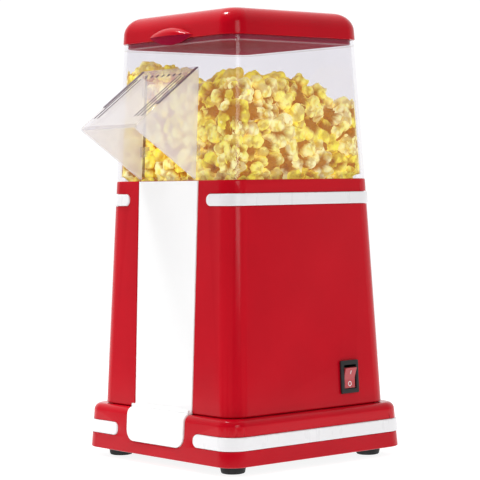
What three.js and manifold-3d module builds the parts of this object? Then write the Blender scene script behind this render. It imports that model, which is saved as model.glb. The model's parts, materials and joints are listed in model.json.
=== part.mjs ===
// Hot-air popcorn maker: a tapered square tower on a plinth, with a blower and a heated popping cup inside,
// a clear hood with a serving chute on top, and a lift-off lid.
// Millimetres, +Z up, the front faces -Y. Every piece is one closed solid in its own named mesh.

import * as THREE from "three";
import { mergeVertices } from "three/addons/utils/BufferGeometryUtils.js";
import Module from "manifold-3d";

const wasm = await Module();
wasm.setup();

// ---- Driving dimensions ----

const GAP = 0.3; // clearance between pieces that touch
const CORNER = 13.6; // radius of the upright corners
const CORNER_STEPS = 2; // an arc gets twice as many sides as its steps
const FAR = 200; // a reach past the whole object, for cutting blocks

// A casing's half width (x) and half depth (y) at its lower and upper height (z).
const PLINTH = { z: [6, 36], x: [79.2, 77.6], y: [78, 75.8] };
const BODY = { z: [36, 188], x: [71.5, 65.6], y: [69.8, 62.8] };
const HOOD = { z: [188, 281.2], x: [65.6, 61.7], y: [62.8, 57.6] };
const LID = { z: [281.5, 300], x: [62.2, 61.2], y: [58.1, 57.1] };

const PLINTH_WALL = 2.6;
const PLINTH_SHOULDER = 4; // rounding of the plinth's top edge
const BODY_WALL = 3;
const HOOD_WALL = 2.2;
const LID_WALL = 2.4;
const LID_ROUND = 12;

const PANEL = { halfTop: 31.6, halfBottom: 30.3, thickness: 2, bottom: 14.4, corner: 8 };
const PANEL_PROUD = 0.8; // over the plinth; on the tower the panel lies flush
const PANEL_BACKING = { half: 36, depth: 2.6 }; // the wall behind the panel's channel
const UPPER_BAND = { z: [171.3, 179.2], end: 41.3 };
const LOWER_BAND = { z: [16.5, 25.1], end: 40.7 };
const BAND_PROUD = 0.9;
const BAND_DEPTH = 1;

const FOOT = { place: 60, radius: 8.7, height: 5.7 };
const FOOT_SCREW = { head: 3.4, headHeight: 2, shank: 1.5, top: 19 };

const PLATE = { z: [6.2, 8.6], inset: 2.9 };
const LEDGE = { z: [168.4, 171.1], inset: 6.5 };
const DECK = { z: [171.4, 173.8], inset: 3.5, hole: 47 };
const SKIRT = { z: [174.3, 190.5], inset: 3.4, wall: 2.2 };

const MOUTH = { half: 28.3, z: [190.5, 259.4] }; // serving opening in the hood's front wall
const CHUTE = { half: 30, wall: 2, top: 262, tipY: -110.5, tipZ: 224.2, bottom: 189 };
const HOOK = { z: [204, 244], height: 7, claw: 1.6 }; // the chute's hooks behind the opening's edges
const GRIP = { half: 22.5, z: [277.8, 289.2], reach: 7 }; // the finger lip on the lid's front
const LINER = { z: [278.4, 280.2], rimTop: 287, rimWall: 1.8 };

const CUP = { z: [106, 175.4], bottom: 39, top: 44, rim: 50, wall: 1.4, slots: 8 };
const SLEEVE = { z: [84.3, 170.9], outer: 53.4, wall: 1.4 };
const BLOWER = { z: [44, 84], outer: 56, wall: 2.5, floor: 2.5, intake: 30 };
const MOTOR = { z: [14, 41.2], radius: 17.5 };
const SHAFT = { z: [30.5, 63], radius: 1.5 };
const IMPELLER = { z: [50, 63.5], radius: 43, blades: 10 };
const BRACKET = { z: [41.6, 43.6], hub: 19, reach: 40 };
const MICA = { z: [68, 82.4], half: 46, thickness: 1.2 };
const COIL = { z: 81, inner: 16, outer: 42, turns: 2, wire: 1.6 };
const SWITCH = { y: 32.5, z: 55.7, halfWidth: 8, halfHeight: 11 };
const SWITCH_BODY = { back: -15, halfWidth: 6.6, halfHeight: 8.6 };
const SWITCH_HOLE = 0.6; // the wall's hole is larger than the switch's body by this
const POCKET = { back: -7, halfWidth: 5.4, halfHeight: 8 };
const ROCKER = { pivot: -3, halfWidth: 5, halfHeight: 6.9, tilt: 10 };
const GROMMET = { x: -42, z: 48, radius: 5 }; // mains inlet in the back wall

// The whole object's box runs from the chute's tip to the back of the lower band.
const BACK = halfAt(PLINTH, "y", LOWER_BAND.z[0]) + BAND_PROUD;
const CENTRE_Y = (CHUTE.tipY + BACK) / 2;

// ---- Materials ----

const finish = (color, roughness, metalness = 0) =>
  new THREE.MeshStandardMaterial({ color, roughness, metalness });
const RED = finish(0xc01f2a, 0.22);
const WHITE = finish(0xf4f4f5, 0.3);
const CLEAR = finish(0xe6e4ea, 0.08);
const RUBBER = finish(0x18181a, 0.8);
const BLACK = finish(0x1d1d1f, 0.45);
const ROCKER_RED = finish(0xc2434a, 0.25);
const ALUMINIUM = finish(0xc9ccd0, 0.35, 0.9);
const STEEL = finish(0xa6a9ad, 0.4, 0.9);
const HOUSING_GREY = finish(0x8d8f92, 0.5);
const MICA_TAN = finish(0xb59a6b, 0.6);
const NICHROME = finish(0x8a8178, 0.45, 0.8);
const BRASS = finish(0xc8a452, 0.35, 0.9);
const BOARD_GREEN = finish(0x2f6b45, 0.55);
const WIRE_WHITE = finish(0xdedbd2, 0.6);
const WIRE_BLUE = finish(0x3f6fb0, 0.6);

// ---- Solids ----

function toManifold(geometry, flip) {
  const triVerts = new Uint32Array(geometry.index.array);
  if (flip) triVerts.reverse();
  const vertProperties = geometry.attributes.position.array;
  return new wasm.Manifold(new wasm.Mesh({ numProp: 3, vertProperties, triVerts }));
}

// A closed three.js geometry as a solid with its faces pointing out.
function solid(geometry) {
  const bare = geometry.clone();
  bare.deleteAttribute("normal");
  bare.deleteAttribute("uv");
  const merged = mergeVertices(bare, 1e-4);
  const made = toManifold(merged, false);
  return made.volume() < 0 ? toManifold(merged, true) : made;
}

const join = (first, ...others) => others.reduce((sum, other) => sum.add(other), first);
const cut = (first, ...others) => others.reduce((rest, other) => rest.subtract(other), first);

function part(name, body, material) {
  const { vertProperties, triVerts } = body.getMesh();
  const geometry = new THREE.BufferGeometry();
  geometry.setAttribute("position", new THREE.BufferAttribute(vertProperties, 3));
  geometry.setIndex(new THREE.BufferAttribute(triVerts, 1));
  geometry.computeVertexNormals();
  const mesh = new THREE.Mesh(geometry, material);
  mesh.name = name;
  return mesh;
}

// The box between two corners.
function box(low, high) {
  const size = high.map((value, axis) => value - low[axis]);
  const middle = high.map((value, axis) => (value + low[axis]) / 2);
  return solid(new THREE.BoxGeometry(...size).translate(...middle));
}

// An upright cylinder.
function post(radius, z0, z1, x = 0, y = 0, sides = 12) {
  const geometry = new THREE.CylinderGeometry(radius, radius, z1 - z0, sides);
  return solid(geometry.rotateX(Math.PI / 2).translate(x, y, (z0 + z1) / 2));
}

// A round solid about Z from an outline of [radius, z] points that starts and ends on the axis or closes.
function turned(outline, sides = 32) {
  const points = outline.map(([radius, z]) => new THREE.Vector2(radius, z));
  return solid(new THREE.LatheGeometry(points, sides).rotateX(Math.PI / 2));
}

function shapeOf(points) {
  return new THREE.Shape(points.map(([across, up]) => new THREE.Vector2(across, up)));
}

// A side outline of [y, z] points, swept along X from x0 to x1.
function sweptAcross(points, x0, x1) {
  const geometry = new THREE.ExtrudeGeometry(shapeOf(points), { depth: x1 - x0, bevelEnabled: false });
  const axes = new THREE.Matrix4().makeBasis(
    new THREE.Vector3(0, 1, 0),
    new THREE.Vector3(0, 0, 1),
    new THREE.Vector3(1, 0, 0),
  );
  return solid(geometry.applyMatrix4(axes).translate(x0, 0, 0));
}

// A front outline (a shape in X and Z), swept along Y from y0 to y1.
function sweptBack(shape, y0, y1) {
  const options = { depth: y1 - y0, bevelEnabled: false, curveSegments: 3 };
  const axes = new THREE.Matrix4().makeBasis(
    new THREE.Vector3(1, 0, 0),
    new THREE.Vector3(0, 0, 1),
    new THREE.Vector3(0, -1, 0),
  );
  return solid(new THREE.ExtrudeGeometry(shape, options).applyMatrix4(axes).translate(0, y1, 0));
}

// A six-sided wire through a list of points.
function wire(points, radius, steps) {
  const path = new THREE.CatmullRomCurve3(points.map((place) => new THREE.Vector3(...place)));
  const section = new THREE.Shape().absarc(0, 0, radius, 0, 2 * Math.PI, false);
  const options = { steps, extrudePath: path, curveSegments: 3, bevelEnabled: false };
  return solid(new THREE.ExtrudeGeometry(section, options));
}

// ---- Casings ----

function halfAt(casing, axis, z) {
  const share = (z - casing.z[0]) / (casing.z[1] - casing.z[0]);
  return casing[axis][0] + share * (casing[axis][1] - casing[axis][0]);
}

function roundedRectangle(halfX, halfY, radius) {
  const shape = new THREE.Shape();
  shape.absarc(halfX - radius, halfY - radius, radius, 0, Math.PI / 2);
  shape.absarc(radius - halfX, halfY - radius, radius, Math.PI / 2, Math.PI);
  shape.absarc(radius - halfX, radius - halfY, radius, Math.PI, 1.5 * Math.PI);
  shape.absarc(halfX - radius, radius - halfY, radius, 1.5 * Math.PI, 2 * Math.PI);
  return shape;
}

// The casing between two heights, with its sides moved in by inset and its top edge rounded by round.
function casingBlock(casing, z0, z1, inset = 0, round = 0) {
  const corner = Math.max(CORNER - inset, 2);
  const low = { x: halfAt(casing, "x", z0) - inset, y: halfAt(casing, "y", z0) - inset };
  const high = { x: halfAt(casing, "x", z1) - inset, y: halfAt(casing, "y", z1) - inset };
  const options = { depth: z1 - z0 - round, bevelEnabled: round > 0, curveSegments: CORNER_STEPS };
  Object.assign(options, { bevelThickness: round, bevelSize: round, bevelOffset: -round, bevelSegments: 3 });
  const geometry = new THREE.ExtrudeGeometry(roundedRectangle(low.x, low.y, corner), options);
  const place = geometry.attributes.position;
  for (let i = 0; i < place.count; i += 1) {
    const share = place.getZ(i) / (z1 - z0);
    place.setX(i, place.getX(i) + Math.sign(place.getX(i)) * share * (high.x - low.x));
    place.setY(i, place.getY(i) + Math.sign(place.getY(i)) * share * (high.y - low.y));
  }
  const whole = solid(geometry.translate(0, 0, z0));
  if (round === 0) return whole;
  return cut(whole, box([-FAR, -FAR, z0 - round - 1], [FAR, FAR, z0]));
}

function casingRing(casing, z0, z1, outerInset, innerInset) {
  return cut(
    casingBlock(casing, z0, z1, outerInset),
    casingBlock(casing, z0 - 1, z1 + 1, innerInset),
  );
}

// A trim band round the back and sides. It stops at the front in round ends, end mm from the middle.
function band(casing, { z, end }, grow = 0) {
  const [low, high] = [z[0] - grow, z[1] + grow];
  const ring = casingRing(casing, low, high, -BAND_PROUD - grow, BAND_DEPTH + grow);
  const radius = (high - low) / 2;
  const endMiddle = end + (z[1] - z[0]) / 2;
  const middle = (low + high) / 2;
  const front = box([-endMiddle, -FAR, low - 1], [endMiddle, 0, high + 1]);
  const ends = [-endMiddle, endMiddle].map((x) => {
    const geometry = new THREE.CylinderGeometry(radius, radius, FAR, 12);
    return solid(geometry.translate(x, -FAR / 2, middle));
  });
  return join(cut(ring, front), ...ends.map((round) => ring.intersect(round)));
}

// The white panel: a strip down the body's front that steps out over the plinth.
function panelBlock(grow = 0) {
  const { thickness, bottom, corner } = PANEL;
  const bodyFace = (z) => -halfAt(BODY, "y", z) - grow;
  const plinthFace = (z) => -halfAt(PLINTH, "y", z) - PANEL_PROUD - grow;
  const depth = thickness + 2 * grow;
  const step = PLINTH.z[1] + PANEL_PROUD + grow;
  const low = bottom - grow;
  const high = BODY.z[1] - GAP + 2 * grow;
  const round = PLINTH_SHOULDER + PANEL_PROUD + grow;
  const wide = PANEL.halfTop + grow;
  const narrow = PANEL.halfBottom + grow;
  const shoulder = [0, 1, 2, 3, 4].map((k) => {
    const angle = (k * Math.PI) / 8;
    const y = plinthFace(step - round) + round - round * Math.sin(angle);
    return [y, step - round + round * Math.cos(angle)];
  });
  const side = sweptAcross(
    [
      [bodyFace(high), high],
      [bodyFace(step), step],
      ...shoulder,
      [plinthFace(low), low],
      [plinthFace(low) + depth, low],
      [plinthFace(step) + depth, step - depth],
      [bodyFace(step) + depth, step - depth],
      [bodyFace(high) + depth, high],
    ],
    -wide,
    wide,
  );
  const outline = new THREE.Shape();
  outline.moveTo(wide, high + 1);
  outline.lineTo(-wide, high + 1);
  outline.lineTo(-narrow, low + corner);
  outline.absarc(corner - narrow, low + corner, corner, Math.PI, 1.5 * Math.PI, false);
  outline.absarc(narrow - corner, low + corner, corner, 1.5 * Math.PI, 2 * Math.PI, false);
  return side.intersect(sweptBack(outline, -FAR, 0));
}

// The channel that holds the panel, open to the front and, over the plinth, to the top.
function panelRoom() {
  const room = panelBlock(GAP);
  const open = 1.5;
  return join(room, room.translate(0, -open, 0), room.translate(0, 0, open), room.translate(0, -open, open));
}

const footPlaces = [
  [-FOOT.place, -FOOT.place],
  [FOOT.place, -FOOT.place],
  [FOOT.place, FOOT.place],
  [-FOOT.place, FOOT.place],
];

function basePlinth() {
  const [bottom, top] = PLINTH.z;
  const ceiling = top - PLINTH_WALL;
  const bossRadius = 5.5;
  const pilot = FOOT_SCREW.shank + GAP;
  const { half } = PANEL_BACKING;
  const backingDepth = 6.5;
  const backingFace = backingDepth - halfAt(PLINTH, "y", top);
  const backing = box([-half, -FAR, PLATE.z[1] + GAP], [half, backingFace, ceiling]);
  const hollow = cut(casingBlock(PLINTH, bottom - 1, ceiling, PLINTH_WALL), backing);
  const shell = cut(
    casingBlock(PLINTH, bottom, top, 0, PLINTH_SHOULDER),
    hollow,
    casingBlock(BODY, ceiling - 1, top + 1, BODY_WALL + 3),
  );
  const bosses = footPlaces.map(([x, y]) => post(bossRadius, PLATE.z[1] + GAP, ceiling + 1, x, y));
  const bores = footPlaces.map(([x, y]) => post(pilot, 0, FOOT_SCREW.top + GAP, x, y, 8));
  return cut(join(shell, ...bosses), ...bores, panelRoom(), band(PLINTH, LOWER_BAND, GAP));
}

function bottomPlate() {
  const slot = { halfLength: 24, halfWidth: 1.8, pitch: 8, count: 9 };
  const slots = Array.from({ length: slot.count }, (_, k) => {
    const x = (k - (slot.count - 1) / 2) * slot.pitch;
    return box([x - slot.halfWidth, -slot.halfLength, 0], [x + slot.halfWidth, slot.halfLength, 20]);
  });
  const bores = footPlaces.map(([x, y]) => post(FOOT_SCREW.shank + GAP, 0, 20, x, y, 8));
  return cut(casingBlock(PLINTH, ...PLATE.z, PLATE.inset), ...slots, ...bores);
}

function foot([x, y]) {
  const { radius, height } = FOOT;
  const recess = FOOT_SCREW.head + GAP;
  const seat = 2.6;
  const bore = FOOT_SCREW.shank + GAP;
  const rubber = turned([[bore, seat], [recess, seat], [recess, 0], [radius - 1.6, 0], [radius - 0.6, 1],
    [radius, height], [bore, height], [bore, seat]], 16);
  return rubber.translate(x, y, 0);
}

function footScrew([x, y]) {
  const { head, headHeight, shank, top } = FOOT_SCREW;
  const under = 2.3;
  return join(post(head, under - headHeight, under, x, y), post(shank, under - 0.5, top, x, y, 8));
}

function bodyShell() {
  const [bottom, top] = BODY.z;
  const floor = bottom + GAP;
  const backing = PANEL_BACKING;
  const channelBack = casingRing(BODY, floor, top, 1, BODY_WALL + backing.depth).intersect(
    box([-backing.half, -FAR, 0], [backing.half, 0, LEDGE.z[1]]),
  );
  const shell = casingRing(BODY, floor, top, 0, BODY_WALL);
  const ledge = casingRing(BODY, ...LEDGE.z, 1, LEDGE.inset);
  const holeWidth = SWITCH_BODY.halfWidth + SWITCH_HOLE;
  const holeHeight = SWITCH_BODY.halfHeight + SWITCH_HOLE;
  const switchHole = box([50, -holeWidth, -holeHeight], [FAR, holeWidth, holeHeight]);
  const inlet = new THREE.CylinderGeometry(GROMMET.radius, GROMMET.radius, FAR, 16);
  const inletHole = solid(inlet.translate(GROMMET.x, FAR / 2, GROMMET.z));
  return cut(
    join(shell, channelBack, ledge),
    panelRoom(),
    band(BODY, UPPER_BAND, GAP),
    switchHole.translate(0, SWITCH.y, SWITCH.z),
    inletHole,
  );
}

function cordGrommet() {
  const { x, z, radius } = GROMMET;
  const wall = halfAt(BODY, "y", z);
  const bore = 3.6;
  const outer = radius - GAP;
  const lip = radius + 2;
  const [inner, seat, end] = [-6, GAP + 0.2, 3.6];
  const outline = [[bore, inner], [outer, inner], [outer, seat], [lip, seat], [lip, end - 1.2],
    [bore + 1, end], [bore, end], [bore, inner]];
  return turned(outline, 16).rotate(-90, 0, 0).translate(x, wall, z);
}

// ---- Deck, hood, chute and lid ----

function topDeck() {
  const plate = casingBlock(BODY, ...DECK.z, DECK.inset);
  return cut(plate, post(DECK.hole, 0, FAR, 0, 0, 32));
}

function hood() {
  const [bottom, top] = HOOD.z;
  const walls = casingRing(HOOD, bottom + GAP, top, 0, HOOD_WALL);
  const inner = SKIRT.inset + SKIRT.wall;
  const ledge = casingRing(HOOD, bottom + GAP, SKIRT.z[1], 0, inner);
  const skirt = casingRing(BODY, SKIRT.z[0], bottom + 1, SKIRT.inset, inner);
  const mouth = box([-MOUTH.half, -FAR, MOUTH.z[0]], [MOUTH.half, 0, MOUTH.z[1]]);
  return cut(join(walls, ledge, skirt), mouth);
}

// A clear awning: a sloping roof on two triangular cheeks, with the underside open.
function chute() {
  const { half, wall, top, tipY, tipZ, bottom } = CHUTE;
  const back = (z) => -halfAt(HOOD, "y", z) - GAP;
  const outline = [[back(top), top], [tipY, tipZ], [tipY, tipZ - wall], [back(bottom), bottom]];
  const wedge = sweptAcross(outline, -half, half);
  const slope = Math.atan2(top - tipZ, back(top) - tipY);
  const drop = wall / Math.cos(slope);
  const reach = 30;
  const rise = reach * Math.tan(slope);
  const space = sweptAcross(
    [
      [back(top) + reach, top - drop + rise],
      [tipY - reach, tipZ - drop - rise],
      [tipY - reach, 0],
      [back(top) + reach, 0],
    ],
    wall - half,
    half - wall,
  );
  const hooks = [-1, 1].flatMap((side) =>
    HOOK.z.map((z) => {
      const face = -halfAt(HOOD, "y", z);
      const inner = MOUTH.half - 2;
      const [front, clawFront] = [face - 2.5, face + HOOD_WALL + 1];
      const [back, end] = [clawFront + HOOK.claw, z + HOOK.height];
      const stem = box([inner, front, z], [MOUTH.half - GAP, back, end]);
      const root = box([inner, front, z], [half - wall + 0.5, face - 1.2, end]);
      const claw = box([inner, clawFront, z], [MOUTH.half + HOOK.claw, back, end]);
      const hook = join(stem, root, claw);
      return side > 0 ? hook : hook.mirror([1, 0, 0]);
    }),
  );
  return join(cut(wedge, space), ...hooks);
}

function lid() {
  const [bottom, top] = LID.z;
  const shell = cut(
    casingBlock(LID, bottom, top, 0, LID_ROUND),
    casingBlock(LID, bottom - 1, top - LID_WALL, LID_WALL, LID_ROUND - LID_WALL),
  );
  const middle = (GRIP.z[0] + GRIP.z[1]) / 2;
  const sag = (GRIP.z[1] - GRIP.z[0]) / 2;
  const radius = (GRIP.half ** 2 + sag ** 2) / (2 * sag);
  const sweep = Math.asin(GRIP.half / radius);
  const eye = new THREE.Shape();
  const toUp = Math.PI / 2;
  eye.absarc(0, middle + radius - sag, radius, -toUp - sweep, -toUp + sweep, false);
  eye.absarc(0, middle - radius + sag, radius, toUp - sweep, toUp + sweep, false);
  const face = -halfAt(LID, "y", bottom);
  const pad = sweptBack(eye, face - GRIP.reach, face + 1.5);
  const clearOfHood = box([-FAR, -HOOD.y[1] - GAP - 0.2, 0], [FAR, 0, bottom]);
  return join(shell, cut(pad, clearOfHood));
}

function lidLiner() {
  const [low, high] = LINER.z;
  const inset = HOOD_WALL + 0.6;
  const rim = casingRing(HOOD, high - 0.5, LINER.rimTop, inset, inset + LINER.rimWall);
  return join(casingBlock(HOOD, low, high, inset), rim);
}

// ---- Popping cup, air duct and heater ----

function poppingChamber() {
  const { z, bottom, top, rim, wall } = CUP;
  const dome = { height: 7, shoulder: 12, foot: 24 };
  const floor = (height) => [
    [0, height + dome.height],
    [dome.shoulder, height + dome.height - 2],
    [dome.foot, height],
  ];
  const cup = turned([...floor(z[0]), [bottom, z[0]], [top, z[1] - wall], [rim, z[1] - wall], [rim, z[1]],
    [top - wall, z[1]], [bottom - wall, z[0] + wall], ...floor(z[0] + wall).reverse()]);
  const slots = Array.from({ length: CUP.slots }, (_, k) => {
    const slot = box([bottom - 8, -1.2, -7], [top + 4, 1.2, 7]).rotate(25, 0, 0);
    return slot.translate(0, 0, z[0] + 16).rotate(0, 0, (k * 360) / CUP.slots);
  });
  return cut(cup, ...slots);
}

function chamberSleeve() {
  const { z, outer, wall } = SLEEVE;
  const inner = outer - wall;
  return turned([[inner, z[0]], [outer, z[0]], [outer, z[1]], [inner, z[1]], [inner, z[0]]]);
}

function blowerHousing() {
  const { z, outer, wall, floor, intake } = BLOWER;
  const [bottom, top] = z;
  const inner = outer - wall;
  const tub = turned([[intake, bottom], [outer, bottom], [outer, top], [inner, top],
    [inner, bottom + floor], [intake, bottom + floor], [intake, bottom]]);
  const legs = [45, 135, 225, 315].map((turn) =>
    box([outer - 1, -4, PLATE.z[1] + GAP], [outer + 5, 4, z[0] + 20]).rotate(0, 0, turn),
  );
  const bores = bracketTurns.map((turn) => {
    const radius = BRACKET.reach - 4;
    return post(1.9, z[0] - 1, z[0] + floor + 1, radius, 0, 8).rotate(0, 0, turn);
  });
  return cut(join(tub, ...legs), ...bores);
}

function heaterCoil(radius) {
  const { z, inner, outer, turns } = COIL;
  const count = Math.round(turns * 10);
  const places = Array.from({ length: count + 1 }, (_, k) => {
    const share = k / count;
    const angle = share * turns * 2 * Math.PI + 0.4;
    const reach = inner + share * (outer - inner);
    return [reach * Math.cos(angle), reach * Math.sin(angle), z];
  });
  return wire(places, radius, count * 2);
}

function heaterFrame() {
  const { z, half, thickness } = MICA;
  const leaf = box([-half, -thickness / 2, z[0]], [half, thickness / 2, z[1]]);
  return cut(join(leaf, leaf.rotate(0, 0, 90)), heaterCoil(COIL.wire + GAP));
}

// ---- Motor and fan ----

const bracketTurns = [90, 210, 330];
const motorScrewPlaces = [-10, 10];

function impeller() {
  const { z, radius, blades } = IMPELLER;
  const hub = post(8, z[0], z[1], 0, 0, 16);
  const plate = post(radius, z[1] - 1.5, z[1], 0, 0, 24);
  const fins = Array.from({ length: blades }, (_, k) => {
    const fin = box([6, -0.8, z[0] + 1], [radius - 1, 0.8, z[1] - 1]);
    return fin.rotate(0, 0, 12).translate(0, 2, 0).rotate(0, 0, (k * 360) / blades);
  });
  return cut(join(hub, plate, ...fins), post(SHAFT.radius + GAP, 0, FAR));
}

function motor() {
  const { z, radius } = MOTOR;
  const can = turned([[0, z[0] - 1.5], [6, z[0] - 1.5], [6, z[0]], [radius - 2, z[0]], [radius, z[0] + 2],
    [radius, z[1]], [0, z[1]]], 24);
  const bores = motorScrewPlaces.map((x) => post(1.6, z[1] - 7, z[1] + 1, x, 0, 8));
  return cut(can, post(SHAFT.radius + GAP, SHAFT.z[0] - GAP, z[1] + 1), ...bores);
}

function motorBracket() {
  const { z, hub, reach } = BRACKET;
  const arms = bracketTurns.map((turn) => box([0, -5, z[0]], [reach, 5, z[1]]).rotate(0, 0, turn));
  const holes = bracketTurns.map((turn) => post(1.9, 0, FAR, reach - 4, 0, 8).rotate(0, 0, turn));
  const bores = motorScrewPlaces.map((x) => post(1.6, 0, FAR, x, 0, 8));
  return cut(join(post(hub, ...z, 0, 0, 24), ...arms), post(4, 0, FAR), ...holes, ...bores);
}

function motorScrew(x) {
  const seat = BRACKET.z[1] + GAP;
  return join(post(2.8, seat, seat + 1.8, x, 0), post(1.2, MOTOR.z[1] - 6, seat + 1, x, 0, 8));
}

function bracketScrew(turn) {
  const seat = BRACKET.z[0] - GAP;
  const screw = join(post(3.2, seat - 2, seat), post(1.5, seat - 1, BLOWER.z[0] + BLOWER.floor, 0, 0, 8));
  return screw.translate(BRACKET.reach - 4, 0, 0).rotate(0, 0, turn);
}

// ---- Electrical pieces ----

function rectifierBoard() {
  const top = MOTOR.z[0] - 1.5 - GAP;
  const board = post(13, top - 1.4, top, 0, 0, 20);
  const diode = { halfWidth: 1.3, y: [6.4, 10.4], rise: 1.4 };
  const diodes = [-7.5, -2.5, 2.5, 7.5].map((x) =>
    box([x - diode.halfWidth, diode.y[0], top - 1], [x + diode.halfWidth, diode.y[1], top + diode.rise]),
  );
  return join(board, ...diodes);
}

function thermostat() {
  const face = SLEEVE.outer + GAP;
  const z = 118;
  const barrel = new THREE.CylinderGeometry(8, 8, 6, 20).rotateZ(Math.PI / 2);
  const disc = solid(barrel.translate(face + 4, 0, z));
  const ears = box([face, -12, z - 4], [face + 1.6, 12, z + 4]);
  const tabs = [-4, 4].map((y) => box([face + 6.5, y - 2.2, z - 0.4], [face + 11, y + 2.2, z + 0.4]));
  return join(disc, ears, ...tabs);
}

function thermalFuse() {
  return post(2.3, 100, 113, 0, SLEEVE.outer + 2.3 + GAP, 12);
}

// The switch is made in a frame whose X points out of the wall and whose origin is on the wall's face.
function switchHousing() {
  const { halfWidth, halfHeight } = SWITCH;
  const bezel = box([GAP, -halfWidth, -halfHeight], [2, halfWidth, halfHeight]);
  const block = ({ back, halfWidth: width, halfHeight: height }, front) =>
    box([back, -width, -height], [front, width, height]);
  return cut(join(bezel, block(SWITCH_BODY, 1)), block(POCKET, FAR));
}

// A shallow V seen from the side. At rest its lower face is pressed in and its upper face stands out.
function switchRocker() {
  const { halfWidth, halfHeight, tilt, pivot } = ROCKER;
  const middle = 1.2;
  const rise = halfHeight * Math.tan((tilt * Math.PI) / 180);
  const outline = [
    [middle - pivot, 0],
    [middle + rise - pivot, halfHeight],
    [middle + rise - pivot - 3, halfHeight],
    [-2.5, 2.5],
    [-2.5, -2.5],
    [middle + rise - pivot - 3, -halfHeight],
    [middle + rise - pivot, -halfHeight],
  ];
  const shape = shapeOf(outline);
  const geometry = new THREE.ExtrudeGeometry(shape, { depth: 2 * halfWidth, bevelEnabled: false });
  geometry.translate(0, 0, -halfWidth).rotateX(Math.PI / 2);
  geometry.rotateY((tilt * Math.PI) / 180).translate(pivot, 0, 0);
  return solid(geometry);
}

function switchTerminal(z) {
  const back = SWITCH_BODY.back - GAP;
  return box([back - 5, -3, z - 0.4], [back, 3, z + 0.4]);
}

function switchGroup() {
  const group = new THREE.Group();
  const lean = Math.atan2(BODY.x[0] - BODY.x[1], BODY.z[1] - BODY.z[0]);
  group.position.set(halfAt(BODY, "x", SWITCH.z), SWITCH.y, SWITCH.z);
  group.rotation.y = -lean;
  group.add(part("switch_housing", switchHousing(), BLACK));
  group.add(part("switch_rocker", switchRocker(), ROCKER_RED));
  [-5, 5].forEach((z, k) => group.add(part(`switch_terminal_${k + 1}`, switchTerminal(z), BRASS)));
  return group;
}

// Leads run up the free corners between the air duct and the tower's walls.
const LEADS = {
  wire_inlet_switch: [[-40, 61.5, 47], [-20, 63, 42], [20, 63, 41], [50, 60, 44], [59, 51, 48],
    [54, 43, 50], [53, 36.2, 50.1]],
  wire_switch_heater: [[52.6, 36.2, 60], [52.4, 41, 62], [53, 46, 76], [57, 39, 98], [62.3, 20, 114],
    [62.5, 6.8, 118]],
  wire_inlet_motor: [[-44, 61, 46], [-52, 52, 38], [-52, 40, 26], [-36, 20, 16], [-22, 5, 12.2],
    [-13.7, 0.5, 11.6]],
};

// ---- The whole object ----

const machine = new THREE.Group();
machine.position.y = -CENTRE_Y;

machine.add(
  part("base_plinth", basePlinth(), RED),
  part("bottom_plate", bottomPlate(), BLACK),
  part("body_shell", bodyShell(), RED),
  part("front_panel", panelBlock(), WHITE),
  part("upper_band", band(BODY, UPPER_BAND), WHITE),
  part("lower_band", band(PLINTH, LOWER_BAND), WHITE),
  part("top_deck", topDeck(), RED),
  part("hood", hood(), CLEAR),
  part("chute", chute(), CLEAR),
  part("lid", lid(), RED),
  part("lid_liner", lidLiner(), RED),
  part("popping_chamber", poppingChamber(), ALUMINIUM),
  part("chamber_sleeve", chamberSleeve(), STEEL),
  part("blower_housing", blowerHousing(), HOUSING_GREY),
  part("heater_frame", heaterFrame(), MICA_TAN),
  part("heater_coil", heaterCoil(COIL.wire), NICHROME),
  part("impeller", impeller(), BLACK),
  part("motor_shaft", post(SHAFT.radius, ...SHAFT.z, 0, 0, 16), STEEL),
  part("motor", motor(), STEEL),
  part("motor_bracket", motorBracket(), STEEL),
  part("rectifier_board", rectifierBoard(), BOARD_GREEN),
  part("thermostat", thermostat(), BLACK),
  part("thermal_fuse", thermalFuse(), ALUMINIUM),
  part("cord_grommet", cordGrommet(), BLACK),
  switchGroup(),
);
footPlaces.forEach((place, k) => {
  machine.add(part(`foot_${k + 1}`, foot(place), RUBBER));
  machine.add(part(`foot_screw_${k + 1}`, footScrew(place), STEEL));
});
bracketTurns.forEach((turn, k) => machine.add(part(`bracket_screw_${k + 1}`, bracketScrew(turn), STEEL)));
motorScrewPlaces.forEach((x, k) => machine.add(part(`motor_screw_${k + 1}`, motorScrew(x), STEEL)));
Object.entries(LEADS).forEach(([name, route]) => {
  const colour = name === "wire_inlet_motor" ? WIRE_BLUE : WIRE_WHITE;
  machine.add(part(name, wire(route, 1.2, 20), colour));
});

export default machine;
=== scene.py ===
import json
from math import atan2, cos, hypot, pi, radians, sin, sqrt, tan

import bmesh
import bpy
import numpy as np
from mathutils import Matrix, Vector


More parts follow.
